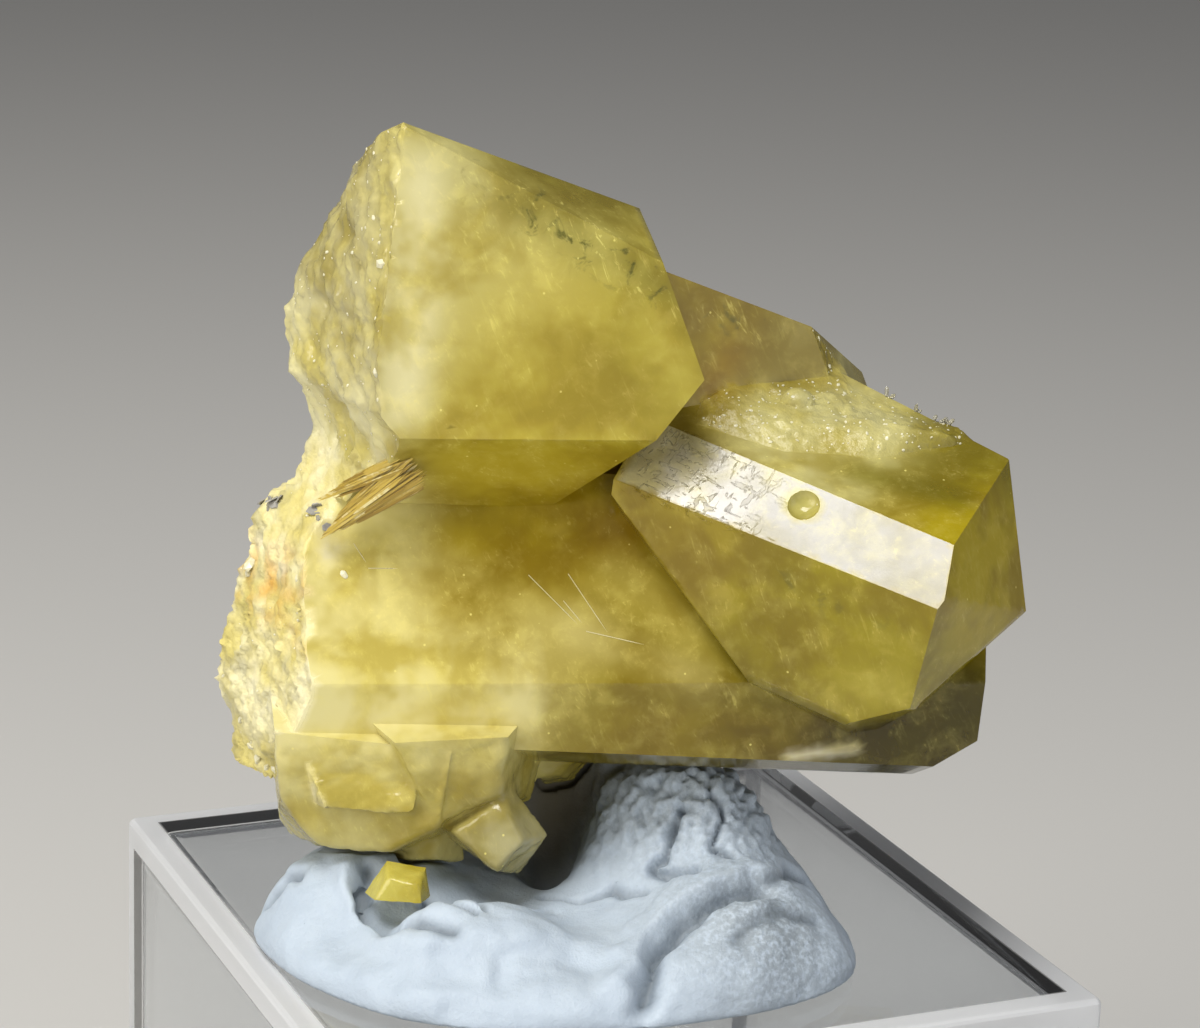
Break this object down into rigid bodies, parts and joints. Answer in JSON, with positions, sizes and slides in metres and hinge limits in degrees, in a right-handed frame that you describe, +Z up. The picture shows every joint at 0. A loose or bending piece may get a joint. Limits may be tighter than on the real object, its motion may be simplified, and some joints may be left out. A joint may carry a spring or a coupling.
{
  "type": "brazilianite crystal cluster on a display box",
  "caption": "Yellow-green see-through crystals grown together, pressed into blue-grey putty on a clear square display box that is open below.",
  "frame": {"origin": "centre of the whole object's bounding box, on the surface that the box's open rim rests on", "axes": "+Z up, +X and +Y along the box's sides; the cluster's best side looks at -Y, turned 23.4 degrees"},
  "size_m": [0.0404, 0.04, 0.0683],
  "materials": {
    "brazilianite": "glassy natural crystal faces",
    "golden_mica": "splintery, pearly",
    "putty": "matt, kneaded",
    "clear_plastic": "clear moulded plastic"
  },
  "bodies": {
    "root": {"brazilianite_cluster": "brazilianite", "mica_flake": "golden_mica", "crystal_chip": "brazilianite", "putty_pad": "putty", "display_box": "clear_plastic"}
  },
  "joints": []
}
